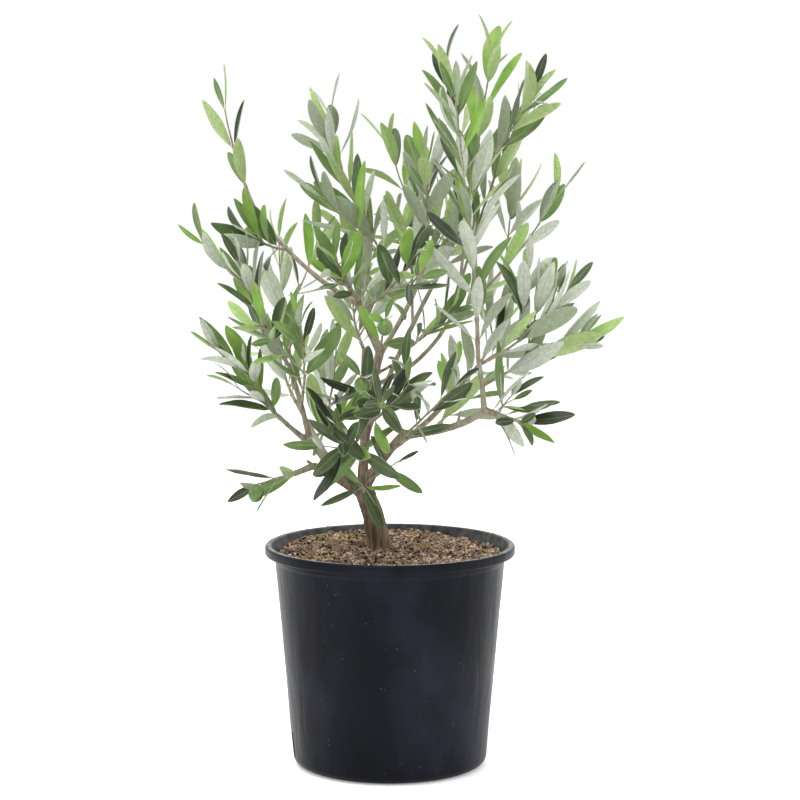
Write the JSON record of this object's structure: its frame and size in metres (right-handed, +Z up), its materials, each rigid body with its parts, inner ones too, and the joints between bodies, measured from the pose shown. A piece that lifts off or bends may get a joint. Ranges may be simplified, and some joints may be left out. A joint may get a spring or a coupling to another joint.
{
  "type": "potted olive tree",
  "caption": "Young olive tree with a short leaning trunk and an open, upright crown of narrow leaves, in soil in a plain tapered nursery pot with a rolled rim.",
  "frame": {"origin": "centre of the pot's flat underside", "axes": "+Z up along the pot's axis, -Y towards the side it is seen from, +X to the right of that view"},
  "size_m": [0.406, 0.3698, 0.7185],
  "materials": {
    "pot": "moulded charcoal plastic with a low satin sheen, faint scuffs and dust",
    "soil": "loose brown peat and coir potting mix with pale fibres",
    "trunk": "grey-brown young olive bark, finely ridged",
    "bough": "grey-brown bark, smoother and paler than the trunk's",
    "foliage": "leathery leaves, deep green above and silvery grey-green beneath, on pale grey-green twigs"
  },
  "bodies": {
    "root": {"pot": "pot", "soil": "soil", "trunk": "trunk", "left_bough": "bough", "left_riser": "bough", "far_left_limb": "bough", "upper_left_limb": "bough", "right_bough_low": "bough", "right_bough_high": "bough", "front_riser": "bough", "middle_limb": "bough", "middle_left_fork": "bough", "left_whip": "bough", "middle_right_fork": "bough", "second_stem": "bough", "dark_branch": "bough", "back_limb": "bough", "back_left_limb": "bough", "back_right_limb": "bough", "low_left_spray": "foliage", "far_left_spray": "foliage", "upper_left_spray": "foliage", "left_back_spray": "foliage", "lit_twig": "foliage", "whip_tip": "foliage", "whip_spray": "foliage", "upper_middle_spray": "foliage", "inner_front_spray": "foliage", "inner_back_spray": "foliage", "crossing_spray": "foliage", "whorl_spray": "foliage", "middle_right_spray": "foliage", "second_stem_spray": "foliage", "mid_right_spray": "foliage", "front_top_spray": "foliage", "back_top_spray": "foliage", "right_high_spray": "foliage", "right_back_spray": "foliage", "right_upper_spray": "foliage", "right_tip_spray": "foliage", "right_low_spray": "foliage", "pale_spray": "foliage", "right_inner_spray": "foliage", "foot_rosette": "foliage", "fork_twig": "foliage", "low_front_spray": "foliage", "mid_front_spray": "foliage", "back_spray": "foliage", "back_left_spray": "foliage", "back_right_spray": "foliage", "back_high_spray": "foliage", "front_left_spray": "foliage", "inner_left_spray": "foliage", "fork_sprig": "foliage", "front_sprig": "foliage"}
  },
  "joints": []
}
